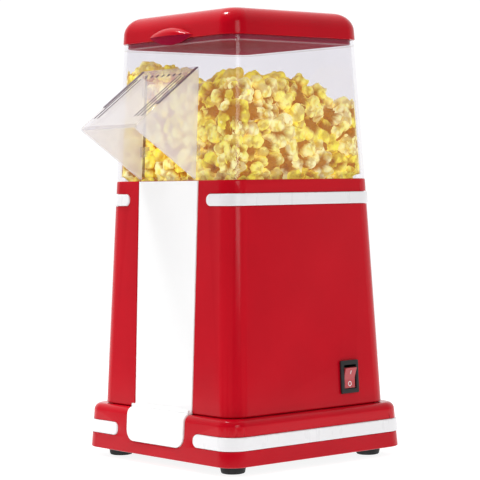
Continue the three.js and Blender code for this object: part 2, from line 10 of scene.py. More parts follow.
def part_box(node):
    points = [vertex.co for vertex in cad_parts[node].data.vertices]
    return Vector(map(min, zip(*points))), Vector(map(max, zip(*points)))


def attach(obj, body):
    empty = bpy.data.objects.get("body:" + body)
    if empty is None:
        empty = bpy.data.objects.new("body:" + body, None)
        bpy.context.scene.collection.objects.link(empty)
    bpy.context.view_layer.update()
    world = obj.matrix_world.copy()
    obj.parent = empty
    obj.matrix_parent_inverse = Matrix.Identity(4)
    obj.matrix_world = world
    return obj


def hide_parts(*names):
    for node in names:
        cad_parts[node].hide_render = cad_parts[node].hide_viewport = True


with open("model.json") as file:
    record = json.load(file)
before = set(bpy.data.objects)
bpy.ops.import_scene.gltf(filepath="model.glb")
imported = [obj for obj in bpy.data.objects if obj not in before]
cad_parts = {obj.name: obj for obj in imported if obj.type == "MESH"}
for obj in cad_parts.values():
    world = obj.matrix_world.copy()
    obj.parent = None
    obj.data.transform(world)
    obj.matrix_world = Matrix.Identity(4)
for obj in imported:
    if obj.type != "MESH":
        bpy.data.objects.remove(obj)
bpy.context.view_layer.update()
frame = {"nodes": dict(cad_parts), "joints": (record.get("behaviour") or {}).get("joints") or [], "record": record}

# Hot-air popcorn maker. Shapes are made in millimetres in the frame of the CAD, and add() turns them
# into metres.

MM = 0.001

CORNER = 13.6  # radius of the casings' upright corners
CORNER_STEPS = 12
QUARTERS = ((1, -1), (1, 1), (-1, 1), (-1, -1))  # the sides of the four corners, anticlockwise from the front
BODY_WALL = 3.0
HOOD_WALL = 2.2
LID_WALL = 2.4
SHOULDER = 4.5  # rounding of the plinth's top edge
BAND_PROUD = 0.9
BAND_SUNK = 1.0
BAND_END = {"upper_band": 41.3, "lower_band": 40.7}
PANEL_GAP = 0.35
PANEL_THICK = 2.0
PANEL_PROUD = 0.8  # over the plinth; on the tower it lies flush
PANEL_BOTTOM_HALF = 30.3
BACKING_TOP = 171.1  # below it the wall behind the panel is thick; above it the hood's skirt stands there
SKIRT_BOTTOM = 174.3
SKIRT_INSET = 3.4
RIM_GROOVE = (277.2, 278.2)  # a fine groove round the hood under the lid, whose band is painted hazy white as a highlight
LEDGE_Z = 190.5  # the step inside the hood, level with the foot of its opening
CHUTE_WALL = 2.0
CHUTE_TOP = 262.0
CHUTE_BOTTOM = 189.0
CHUTE_TIP_Z = 224.2
CHUTE_HOOKS = (204, 244)
LID_EDGE_ROUND = 12.4
LID_CROWN = 0.5
LINER_PLATE = 1.8
GRIP_CREASE = 5.6  # height of the grip's lip over its lower edge
MOUTH_HALF = 28.3
MOUTH_Z = (190.5, 259.4)
CUP_BORE = 47.0  # the deck's hole round the cup
HEAP_TOP = 270.0
HEAP_BOTTOM = 177.0
KERNEL_SIZE = (9.6, 12.2)
FLOOR_REACH = 600


# ---- Sizes read from the frame ----

def box_mm(node):
    low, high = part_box(node)
    return low / MM, high / MM


BODY_LOW, BODY_HIGH = box_mm("body_shell")
CENTRE = (BODY_LOW.y + BODY_HIGH.y) / 2  # the casings' middle in Y


class Casing:
    """The half width and half depth of a tapered casing, measured on its CAD node at two heights."""

    def __init__(self, node, low, high):
        self.low, self.high = low, high
        self.sizes = [self.measure(node, z) for z in (low, high)]

    @staticmethod
    def measure(node, z):
        level = [v.co / MM for v in frame["nodes"][node].data.vertices if abs(v.co.z / MM - z) < 0.4]
        return max(p.x for p in level), max(p.y for p in level) - CENTRE

    def half(self, z):
        share = (z - self.low) / (self.high - self.low)
        return [a + share * (b - a) for a, b in zip(*self.sizes)]


PLINTH_LOW, PLINTH_HIGH = box_mm("base_plinth")
HOOD_TOP = box_mm("hood")[1].z
LID_LOW, LID_HIGH = box_mm("lid")[0].z, box_mm("lid")[1].z
LID_EDGE = LID_HIGH - 18.5  # the lid's lower edge, above its grip
PLINTH = Casing("base_plinth", PLINTH_LOW.z, PLINTH_HIGH.z - 4)
BODY = Casing("body_shell", BODY_LOW.z, BODY_HIGH.z)
HOOD = Casing("hood", BODY_HIGH.z + 0.3, HOOD_TOP)
LID = Casing("lid", LID_EDGE, LID_HIGH - 12)


# ---- Shapes: each is (points, faces) ----

def rounded_outline(half_x, half_y, radius, z):
    """A rounded rectangle at height z, anticlockwise from the right end of its front."""
    points = []
    for quarter, (side, end) in enumerate(QUARTERS):
        for step in range(CORNER_STEPS + 1):
            angle = pi / 2 * (quarter - 1 + step / CORNER_STEPS)
            x = side * (half_x - radius) + radius * cos(angle)
            y = CENTRE + end * (half_y - radius) + radius * sin(angle)
            points.append((x, y, z))
    return points


def ring(casing, z, inset=0.0, notch=None, level=None):
    """A casing's outline at height z, moved in by inset.
    notch = (half width, depth, tilt) steps the middle of the front back, or down where it is tilted."""
    half_x, half_y = (size - inset for size in casing.half(z))
    z = z if level is None else level
    points = rounded_outline(half_x, half_y, max(CORNER - inset, 1.5), z)
    if notch:
        half, depth, tilt = notch
        fillet = 0.8
        side_points = []
        for step in range(5):
            turn = pi / 8 * step
            side_points.append((half + fillet * (1 - sin(turn)), fillet * (1 - cos(turn))))
        side_points.append((half, depth))
        front = CENTRE - half_y
        for side, row in ((-1, side_points), (1, side_points[::-1])):
            for across, sink in row:
                sink = min(sink, depth)
                points.append((side * across, front + sink * cos(tilt), z - sink * sin(tilt)))
    return points


def loft(rings, closed=False):
    """Rings of equal length joined one after another, with capped ends or the last joined to the first."""
    count = len(rings[0])
    points = [point for one in rings for point in one]
    faces = []
    for k in range(len(rings) if closed else len(rings) - 1):
        a, b = k * count, (k + 1) % len(rings) * count
        for i in range(count):
            j = (i + 1) % count
            faces.append((a + i, a + j, b + j, b + i))
    if not closed:
        faces.append(tuple(range(count))[::-1])
        faces.append(tuple(range(len(points) - count, len(points))))
    return points, faces


def crowned(half, foot, top, edge, steps=4):
    """A profile across a strip: from one foot over a top with rounded shoulders to the other foot."""
    profile = [(-half, foot)]
    for k in range(steps + 1):
        turn = pi / (2 * steps) * k
        profile.append((-half + edge * (1 - cos(turn)), top - edge * (1 - sin(turn))))
    return profile + [(-across, height) for across, height in profile[::-1]]


def lathe(profile, sides=48, closed=True):
    """A [radius, height] outline turned about Z. A profile that isn't closed ends on the axis."""
    rings = []
    for radius, height in profile:
        turns = [2 * pi * k / sides for k in range(sides)]
        rings.append([(radius * cos(t), radius * sin(t), height) for t in turns])
    return loft(rings, closed)


def rounded_box(low, high, radius, segments=3):
    bm = bmesh.new()
    bmesh.ops.create_cube(bm, size=1)
    low, high = Vector(low), Vector(high)
    for v in bm.verts:
        v.co = Vector([low[i] + (v.co[i] + 0.5) * (high[i] - low[i]) for i in range(3)])
    bmesh.ops.bevel(bm, geom=bm.edges[:], offset=radius, segments=segments, profile=0.5, affect="EDGES")
    return taken(bm)


def taken(bm):
    bm.verts.index_update()
    shape = [tuple(v.co) for v in bm.verts], [tuple(v.index for v in f.verts) for f in bm.faces]
    bm.free()
    return shape


def moved(shape, matrix):
    points, faces = shape
    return [tuple(matrix @ Vector(point)) for point in points], faces


def placed(shape, x=0.0, y=0.0, z=0.0):
    return moved(shape, Matrix.Translation((x, y, z)))


def together(*shapes):
    points, faces = [], []
    for some, joined in shapes:
        start = len(points)
        points.extend(some)
        faces.extend(tuple(start + i for i in face) for face in joined)
    return points, faces


def eased(distance, radius):
    """How far a rounded edge has dropped at this distance from its rim."""
    gone = max(radius - distance, 0)
    return radius - sqrt(radius ** 2 - gone ** 2)


# ---- Blender objects ----

def linked(name, data):
    thing = bpy.data.objects.new(name, data)
    bpy.context.scene.collection.objects.link(thing)
    return thing


def add(name, shape, finish, sharp=32):
    points, faces = shape
    mesh = bpy.data.meshes.new(name)
    mesh.from_pydata([[c * MM for c in point] for point in points], [], faces)
    bm = bmesh.new()
    bm.from_mesh(mesh)
    bmesh.ops.remove_doubles(bm, verts=bm.verts, dist=1e-6)
    bmesh.ops.dissolve_degenerate(bm, edges=bm.edges, dist=1e-7)
    bmesh.ops.recalc_face_normals(bm, faces=bm.faces)
    bm.to_mesh(mesh)
    bm.free()
    thing = linked(name, mesh)
    if finish:
        mesh.materials.append(finish)
    shade(thing, sharp)
    return thing


def shade(thing, sharp=32):
    """Smooth shading with creases, and normals that keep large flat faces flat."""
    thing.data.shade_smooth()
    thing.data.set_sharp_from_angle(angle=radians(sharp))
    thing.modifiers.new("normals", "WEIGHTED_NORMAL").keep_sharp = True
    bake_modifiers(thing)


def bake_modifiers(thing):
    depsgraph = bpy.context.evaluated_depsgraph_get()
    mesh = bpy.data.meshes.new_from_object(thing.evaluated_get(depsgraph))
    thing.modifiers.clear()
    thing.data = mesh


def subtract(thing, *shapes):
    """Cuts closed shapes out of a thing."""
    cutters = [add("cutter", shape, None) for shape in shapes]
    for cutter in cutters:
        modifier = thing.modifiers.new("cut", "BOOLEAN")
        modifier.operation = "DIFFERENCE"
        modifier.solver = "EXACT"
        modifier.object = cutter
    bake_modifiers(thing)
    for cutter in cutters:
        bpy.data.objects.remove(cutter)
    shade(thing)


def put(thing, matrix):
    """Moves a thing's mesh by a matrix in millimetres."""
    thing.data.transform(Matrix.Scale(MM, 4) @ matrix @ Matrix.Scale(1 / MM, 4))


def settle(thing, body, slot, *nodes):
    """The thing rides on a CAD body and stands for CAD nodes. The slot argument is not used."""
    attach(thing, body)
    if nodes:
        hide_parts(*nodes)
    return thing


def paint_faces(thing, finish, test):
    """Gives the faces whose middle (in millimetres) and normal pass the test another finish."""
    thing.data.materials.append(finish)
    index = len(thing.data.materials) - 1
    for face in thing.data.polygons:
        if test(Vector(face.center) / MM, face.normal):
            face.material_index = index


# ---- Materials ----

def fill(node, **values):
    """Sets input sockets by their names, with _ for a space."""
    for key, value in values.items():
        node.inputs[key.replace("_", " ")].default_value = value
    return node


class Nodes:
    """Shader nodes of a new material, read in the piece's own coordinates in metres."""

    def __init__(self, name):
        self.material = bpy.data.materials.new(name)
        self.material.use_nodes = True
        self.tree = self.material.node_tree
        self.tree.nodes.clear()
        self.output = self.tree.nodes.new("ShaderNodeOutputMaterial")
        self.place = self.tree.nodes.new("ShaderNodeTexCoord").outputs["Object"]

    def new(self, kind, **settings):
        node = self.tree.nodes.new(kind)
        for key, value in settings.items():
            setattr(node, key, value)
        return node

    def link(self, out, into):
        self.tree.links.new(out, into)

    def noise(self, scale, detail=3.0, roughness=0.5, stretch=None):
        node = fill(self.new("ShaderNodeTexNoise"), Scale=scale, Detail=detail, Roughness=roughness)
        place = self.place
        if stretch:
            mapping = fill(self.new("ShaderNodeMapping"), Scale=stretch)
            self.link(place, mapping.inputs["Vector"])
            place = mapping.outputs["Vector"]
        self.link(place, node.inputs["Vector"])
        return node.outputs["Fac"]

    def spread(self, value, low, high, start=0.3, end=0.7):
        node = fill(self.new("ShaderNodeMapRange"), From_Min=start, From_Max=end, To_Min=low, To_Max=high)
        self.link(value, node.inputs["Value"])
        return node.outputs["Result"]

    def mix(self, factor, first, second):
        """Colours or colour sockets blended by a factor socket."""
        node = self.new("ShaderNodeMix", data_type="RGBA")
        self.link(factor, node.inputs["Factor"])
        for value, socket in ((first, node.inputs[6]), (second, node.inputs[7])):
            if isinstance(value, (tuple, list)):
                socket.default_value = (*value, 1)
            else:
                self.link(value, socket)
        return node.outputs[2]

    def bump(self, height, strength, distance, under=None):
        node = fill(self.new("ShaderNodeBump"), Strength=strength, Distance=distance)
        self.link(height, node.inputs["Height"])
        if under:
            self.link(under, node.inputs["Normal"])
        return node.outputs["Normal"]

    def combined(self, operation, first, second):
        node = self.new("ShaderNodeMath", operation=operation, use_clamp=True)
        self.link(first, node.inputs[0])
        self.link(second, node.inputs[1])
        return node.outputs[0]

    def layered(self, factor, under, over):
        node = self.new("ShaderNodeMixShader")
        for socket, into in zip((factor, under.outputs[0], over.outputs[0]), node.inputs):
            self.link(socket, into)
        return node

    def principled(self, **values):
        return fill(self.new("ShaderNodeBsdfPrincipled"), **values)

    def finished(self, shader):
        self.link(shader.outputs[0], self.output.inputs[0])
        return self.material


def shaded(colour, factor):
    return tuple(min(channel * factor, 1) for channel in colour)


def plastic(name, colour, roughness, worn=None, cloud=0.06, peel=0.05, specular=0.5):
    """Moulded plastic: soft clouding, a faint moulding skin, fine handling marks and slightly rubbed edges."""
    n = Nodes(name)
    shader = n.principled(Specular_IOR_Level=specular)
    clouds = n.mix(n.spread(n.noise(28, 4), 0, 1), shaded(colour, 1 - cloud), shaded(colour, 1 + cloud))
    edges = n.new("ShaderNodeNewGeometry").outputs["Pointiness"]
    rubbed = n.spread(edges, 0, 0.5, 0.53, 0.62)
    n.link(n.mix(rubbed, clouds, worn or shaded(colour, 1.25)), shader.inputs["Base Color"])
    marks = n.noise(160, 6, 0.6, stretch=(1, 1, 0.25))
    n.link(n.spread(marks, roughness * 0.8, roughness * 1.25), shader.inputs["Roughness"])
    n.link(n.bump(n.noise(900, 2), peel, 0.0002), shader.inputs["Normal"])
    return n.finished(shader)


def metal(name, colour, roughness, stretch=(1, 1, 14)):
    """Drawn or turned metal with a directional grain and dull patches."""
    n = Nodes(name)
    shader = n.principled(Metallic=1.0)
    grain = n.noise(260, 5, 0.65, stretch=stretch)
    n.link(n.mix(n.spread(grain, 0, 1), shaded(colour, 0.82), shaded(colour, 1.1)), shader.inputs["Base Color"])
    n.link(n.spread(n.noise(40, 4), roughness * 0.75, roughness * 1.3), shader.inputs["Roughness"])
    n.link(n.bump(grain, 0.15, 0.0002), shader.inputs["Normal"])
    return n.finished(shader)


def clear(name, tint, haze, haze_colour):
    """Clear plastic: a tinted see-through sheet with a glossy skin, and as much milky haze as given."""
    n = Nodes(name)
    smears = n.spread(n.noise(22, 4), 0, 1)
    see_through = n.new("ShaderNodeBsdfTransparent")
    n.link(n.mix(smears, shaded(tint, 0.985), tint), see_through.inputs["Color"])
    milk = n.principled(Specular_IOR_Level=0.2)
    n.link(n.mix(smears, shaded(haze_colour, 0.95), haze_colour), milk.inputs["Base Color"])
    n.link(n.spread(n.noise(60, 3), 0.3, 0.5), milk.inputs["Roughness"])
    body = n.layered(n.spread(n.noise(35, 3), haze * 0.85, haze * 1.15), see_through, milk)
    gloss = fill(n.new("ShaderNodeBsdfGlossy"), Color=(1, 1, 1, 1))
    n.link(n.spread(n.noise(90, 4), 0.042, 0.084), gloss.inputs["Roughness"])
    slant = n.new("ShaderNodeMath", operation="POWER")
    n.link(n.new("ShaderNodeLayerWeight").outputs["Facing"], slant.inputs[0])
    slant.inputs[1].default_value = 4.0
    return n.finished(n.layered(n.spread(slant.outputs[0], 0.014, 0.6, 0, 1), body, gloss))


def popcorn_finish():
    """Buttered popcorn, with painted shade in its creases and furrows, and its brown hulls, read from the kernels'
    own attribute and a cell texture. A weak emission stands in for the light scattered inside the flakes."""
    n = Nodes("popcorn")
    shader = n.principled(Specular_IOR_Level=0.35, Emission_Strength=0.42)
    cells = fill(n.new("ShaderNodeTexVoronoi", feature="SMOOTH_F1"), Scale=250, Smoothness=0.3)
    n.link(n.place, cells.inputs["Vector"])
    # Orange in the fine furrows between the buds is painted shade.
    furrow = n.spread(cells.outputs["Distance"], 0.0, 0.8, 0.55, 0.85)
    parts = n.new("ShaderNodeSeparateColor")
    n.link(n.new("ShaderNodeAttribute", attribute_name="kernel").outputs["Color"], parts.inputs[0])
    crease, hull, cream = parts.outputs
    creamy = n.combined("ADD", cream, n.spread(n.noise(130, 4, 0.6), -0.35, 0.35))
    lobes = n.mix(creamy, (0.99, 0.88, 0.09), (1.0, 0.95, 0.52))
    furrowed = n.mix(furrow, lobes, (0.80, 0.585, 0.05))
    # Creases and deep hollows are darkened to brown: painted shade.
    crease_shaded = n.mix(crease, furrowed, (0.46, 0.18, 0.008))
    brown = n.combined("MULTIPLY", hull, n.spread(n.noise(420, 3, 0.6), 0.6, 1.15))
    colour = n.mix(brown, crease_shaded, (0.34, 0.11, 0.01))
    n.link(colour, shader.inputs["Base Color"])
    n.link(colour, shader.inputs["Emission Color"])
    n.link(n.spread(n.noise(300, 3), 0.35, 0.6), shader.inputs["Roughness"])
    buds = n.bump(n.spread(cells.outputs["Distance"], 1, 0, 0, 0.8), 0.8, 0.0016)
    n.link(n.bump(n.noise(620, 5, 0.6), 0.4, 0.0007, buds), shader.inputs["Normal"])
    return n.finished(shader)


RED = plastic("red_shell", (0.50, 0.0016, 0.011), 0.15, worn=(0.60, 0.012, 0.022), peel=0.03, specular=0.16)
# A darker copy of the red shell plastic: painted shade, used on the lid's liner and under the grip's lip.
SHADED_RED = plastic("red_painted_shade", (0.30, 0.003, 0.03), 0.7, specular=0.05)
WHITE = plastic("white_trim", (0.87, 0.865, 0.88), 0.3, worn=(0.84, 0.84, 0.84), cloud=0.015)
PANEL_WHITE = plastic("white_panel", (0.95, 0.948, 0.95), 0.35, worn=(0.97, 0.97, 0.97), cloud=0.01)
RUBBER = plastic("rubber_foot", (0.018, 0.018, 0.019), 0.75, worn=(0.05, 0.05, 0.05), cloud=0.25, peel=0.5)
BLACK = plastic("black_plastic", (0.013, 0.012, 0.013), 0.38, worn=(0.04, 0.04, 0.04), cloud=0.2, peel=0.3,
                specular=0.35)
ROCKER_RED = plastic("rocker_red", (0.50, 0.045, 0.055), 0.22, worn=(0.7, 0.2, 0.2), specular=0.7)
MARK = plastic("switch_mark", (0.85, 0.72, 0.72), 0.4)
CLEAR = clear("clear_plastic", (0.95, 0.944, 0.96), 0.012, (0.80, 0.79, 0.83))
CLEAR_CHUTE = clear("clear_chute", (0.955, 0.95, 0.965), 0.2, (0.80, 0.77, 0.79))
CLEAR_CHEEK = clear("clear_cheek", (0.96, 0.955, 0.97), 0.5, (1.0, 0.98, 1.0))
# A darkened copy of the clear plastic: painted shade for clear plastic seen edge-on, on the opening's left jamb
# and on the chute's edge strips, ribs and studs.
SHADED_CLEAR = clear("clear_painted_shade", (0.46, 0.40, 0.46), 0.4, (0.22, 0.15, 0.19))
ALUMINIUM = metal("aluminium", (0.80, 0.81, 0.83), 0.32)
STEEL = metal("steel", (0.60, 0.61, 0.63), 0.36)
HOUSING_GREY = plastic("housing_grey", (0.26, 0.27, 0.28), 0.5, peel=0.3)
MICA = plastic("mica", (0.46, 0.33, 0.16), 0.55, cloud=0.3, peel=0.4)
HEATER_WIRE = metal("heater_wire", (0.42, 0.37, 0.33), 0.45, stretch=(6, 6, 6))
BRASS = metal("brass", (0.75, 0.55, 0.22), 0.34)
BOARD = plastic("board", (0.03, 0.14, 0.06), 0.5, cloud=0.2, peel=0.3)
LEAD_WHITE = plastic("lead_white", (0.74, 0.71, 0.64), 0.55, peel=0.2)
LEAD_BLUE = plastic("lead_blue", (0.05, 0.16, 0.45), 0.55, peel=0.2)
POPCORN = popcorn_finish()

SLOT_FINISH = {
    "red_shell": RED, "white_trim": WHITE, "clear_plastic": CLEAR, "rubber_foot": RUBBER, "black_plastic": BLACK,
    "rocker_red": ROCKER_RED, "aluminium": ALUMINIUM, "steel": STEEL, "housing_grey": HOUSING_GREY, "mica": MICA,
    "heater_wire": HEATER_WIRE, "brass": BRASS, "board": BOARD, "lead_white": LEAD_WHITE, "lead_blue": LEAD_BLUE,
}


def finish_cad_nodes():
    for entry in frame["record"]["subparts"]:
        materials = frame["nodes"][entry["node"]].data.materials
        materials.clear()
        materials.append(SLOT_FINISH[entry["material_slot"]])


# ---- Plinth, tower and trim ----

PANEL_TOP_HALF = box_mm("front_panel")[1].x
PANEL_LOW = box_mm("front_panel")[0].z
PANEL_HIGH = box_mm("front_panel")[1].z
PANEL_CORNER = 8.0


def panel_half(z):
    """The white panel narrows a little on its way down to its rounded lower corners."""
    start = PANEL_LOW + PANEL_CORNER
    share = min(max((z - start) / (PANEL_HIGH - start), 0), 1)
    return PANEL_BOTTOM_HALF + share * (PANEL_TOP_HALF - PANEL_BOTTOM_HALF)


def notch_half(z):
    return panel_half(z) + PANEL_GAP


def band_path(casing, node, grow=0.0):
    """Sections of a trim band round the back and sides, with round ends on the front."""
    low, high = box_mm(node)
    middle, radius = (low.z + high.z) / 2, (high.z - low.z) / 2
    tip = BAND_END[node]
    reach = [radius * (1 - cos(pi / 2 * k / 10)) for k in range(11)]
    proud, sunk, edge = BAND_PROUD + grow, BAND_SUNK + grow, 0.8
    sections = []

    def section(along, spot):
        half = sqrt(max(radius ** 2 - (radius - along) ** 2, 0)) if along < radius else radius
        half += grow
        edge_here = min(edge, half * 0.9) if grow == 0 else 0.05
        drop = eased(along, edge) if grow == 0 else 0
        profile = crowned(half, -sunk, proud - drop, edge_here, 3)
        sections.append([(*spot(middle + up, -out), middle + up) for up, out in profile])

    def on_front(x):
        return lambda z, inset: (x, CENTRE - casing.half(z)[1] + inset)

    def on_corner(quarter, side, end, step):
        def spot(z, inset):
            half_x, half_y = casing.half(z)
            angle = pi / 2 * (quarter - 1 + step / CORNER_STEPS)
            radius_here = CORNER - inset
            x = side * (half_x - CORNER) + radius_here * cos(angle)
            return x, CENTRE + end * (half_y - CORNER) + radius_here * sin(angle)
        return spot

    for along in reach:
        section(along + 1e-4, on_front(tip - grow + along))
    for quarter, (side, end) in enumerate(QUARTERS):
        for step in range(CORNER_STEPS + 1):
            section(radius, on_corner(quarter, side, end, step))
    for along in reach[::-1]:
        section(along + 1e-4, on_front(-tip + grow - along))
    return loft(sections)


def make_bands():
    for node, casing in (("upper_band", BODY), ("lower_band", PLINTH)):
        settle(add(node + "_trim", band_path(casing, node), WHITE, 50), "base", "white_trim", node)


def make_tower():
    depth = PANEL_THICK + 0.3
    low, high = BODY_LOW.z, BODY_HIGH.z
    outside = [(0.9, low), (0.35, low + 0.25), (0, low + 0.9), (0, high - 0.8), (0.2, high - 0.25), (0.7, high)]
    rings = [ring(BODY, z, inset, (notch_half(z), depth - inset, 0)) for inset, z in outside]
    inside = [(0, high), (0, BACKING_TOP + 0.3), (depth, BACKING_TOP), (depth, low)]
    rings += [ring(BODY, z, BODY_WALL, (notch_half(z) + BODY_WALL, sunk, 0)) for sunk, z in inside]
    tower = add("tower_shell", loft(rings, closed=True), RED)
    switch_hole = rounded_box((-20, -7.2, -9.2), (9, 7.2, 9.2), 0.6)
    low_inlet, high_inlet = box_mm("cord_grommet")
    inlet = Vector(((low_inlet.x + high_inlet.x) / 2, BODY_HIGH.y, (low_inlet.z + high_inlet.z) / 2))
    hole = moved(lathe([(0.01, -20), (5, -20), (5, 20), (0.01, 20)], 32, closed=False),
                 Matrix.Translation(inlet) @ Matrix.Rotation(radians(-90), 4, "X"))
    subtract(tower, band_path(BODY, "upper_band", 0.3), moved(switch_hole, switch_matrix()), hole)
    settle(tower, "base", "red_shell", "body_shell")


def make_plinth():
    """A skirted block with a round shoulder, and the channel that the white panel runs down."""
    depth = PANEL_THICK - PANEL_PROUD + 0.3
    low, high = PLINTH_LOW.z, PLINTH_HIGH.z
    back_half = notch_half(high) + 3
    floor = PANEL_LOW - PANEL_GAP
    corner = PANEL_CORNER + PANEL_GAP

    def half_at(z):
        up = min(max(z - floor, 0), corner)
        return notch_half(z) - corner + sqrt(corner ** 2 - (corner - up) ** 2)

    foot = ((0.9, low), (0.25, low + 0.3), (0, low + 1))
    rings = [ring(PLINTH, z, inset, (half_at(z), 0, 0)) for inset, z in foot]
    for z, sunk in ((floor - 0.8, 0), (floor - 0.45, 0.12), (floor - 0.15, 0.4), (floor, 0.8)):
        rings.append(ring(PLINTH, z, 0, (half_at(z), sunk, 0)))
    for k in range(13):
        z = floor + corner * (1 - cos(pi / 24 * k))
        rings.append(ring(PLINTH, z, 0, (half_at(z), depth, 0)))
    for k in range(11):
        tilt = pi / 20 * k
        z = high - SHOULDER + SHOULDER * sin(tilt)
        rings.append(ring(PLINTH, z, SHOULDER * (1 - cos(tilt)), (notch_half(z), depth, tilt)))
    hollow = (back_half, 5, 0)
    rings += [ring(PLINTH, high, 11, (notch_half(high), depth, pi / 2)),
              ring(PLINTH, high, 11, (back_half, 5, pi / 2), level=high - 3),
              ring(PLINTH, high, 6, hollow, level=high - 6)]
    rings += [ring(PLINTH, z, 2.6, hollow) for z in (low + 5, low)]
    plinth = add("plinth_shell", loft(rings, closed=True), RED)
    subtract(plinth, band_path(PLINTH, "lower_band", 0.3))
    settle(plinth, "base", "red_shell", "base_plinth")


def make_panel():
    """The white strip: down the tower, round a soft inner corner and over the plinth's shoulder."""
    top, low = PANEL_HIGH, PANEL_LOW
    step = PLINTH_HIGH.z + PANEL_PROUD
    inner, outer = 3.2, SHOULDER + PANEL_PROUD

    def tower_face(z):
        return CENTRE - BODY.half(z)[1]

    def plinth_face(z):
        return CENTRE - PLINTH.half(z)[1] - PANEL_PROUD

    line = [(tower_face(z), z) for z in np.linspace(top, step + inner, 14)]
    middle = (tower_face(step + inner) - inner, step + inner)
    for k in range(1, 9):
        turn = -pi / 16 * k
        line.append((middle[0] + inner * cos(turn), middle[1] + inner * sin(turn)))
    middle = (plinth_face(step - outer) + outer, step - outer)
    for k in range(0, 11):
        turn = pi / 2 + pi / 20 * k
        line.append((middle[0] + outer * cos(turn), middle[1] + outer * sin(turn)))
    ends = [PANEL_CORNER * (1 - cos(pi / 32 * k)) for k in range(16, -1, -1)]
    ends += [0.5, 0.25, 0.08]
    for d in sorted(set(ends), reverse=True):
        line.append((plinth_face(low + d), low + d))
    sections = []
    edge = 0.7
    for k, (y, z) in enumerate(line):
        before, after = line[max(k - 1, 0)], line[min(k + 1, len(line) - 1)]
        along = Vector((after[0] - before[0], after[1] - before[1])).normalized()
        normal = Vector((along.y, -along.x))
        left = max(z - low, 0) if k > 20 else 99
        corner = max(PANEL_CORNER - left, 0)
        reach = panel_half(z) - PANEL_CORNER + sqrt(PANEL_CORNER ** 2 - corner ** 2)
        profile = crowned(reach, -PANEL_THICK, -eased(left, edge), edge)
        sections.append([(across, y + normal.x * out, z + normal.y * out) for across, out in profile])
    settle(add("panel_strip", loft(sections), PANEL_WHITE, 50), "base", "white_trim", "front_panel")


# ---- Hood, chute and lid ----

def make_hood():
    low, top = BODY_HIGH.z + 0.3, HOOD_TOP
    groove_low, groove_high = RIM_GROOVE
    skirt_inside = SKIRT_INSET + HOOD_WALL
    outside = [(SKIRT_INSET, SKIRT_BOTTOM), (SKIRT_INSET, low), (0.5, low), (0.12, low + 0.15), (0, low + 0.6)]
    outside += [(0, groove_low), (0.25, groove_low + 0.3), (0.25, groove_high - 0.3), (0, groove_high)]
    outside += [(0, top - 0.5), (0.15, top - 0.15), (0.6, top)]
    inside = [(HOOD_WALL, top), (HOOD_WALL, LEDGE_Z), (skirt_inside, LEDGE_Z), (skirt_inside, SKIRT_BOTTOM)]
    rings = [ring(HOOD, z, inset) for inset, z in outside + inside]
    hood = add("clear_hood", loft(rings, closed=True), CLEAR)
    front = CENTRE - HOOD.half(188)[1]
    mouth = rounded_box((-MOUTH_HALF, front - 5, MOUTH_Z[0]), (MOUTH_HALF, front + 15, MOUTH_Z[1]), 1.2, 4)
    subtract(hood, mouth)

    def on_left_jamb(p, n):
        in_opening = MOUTH_Z[0] - 0.1 < p.z < MOUTH_Z[1] + 0.1 and p.y < CENTRE - 50
        return in_opening and abs(p.x + MOUTH_HALF) < 1.4 and abs(n.y) < 0.6

    # The left jamb of the opening takes the darkened clear plastic: painted shade.
    paint_faces(hood, SHADED_CLEAR, on_left_jamb)
    # The groove's band takes the hazier chute plastic: a painted highlight line.
    paint_faces(hood, CLEAR_CHUTE, lambda p, n: groove_low + 0.1 < p.z < groove_high - 0.1)
    settle(hood, "hood", "clear_plastic", "hood")


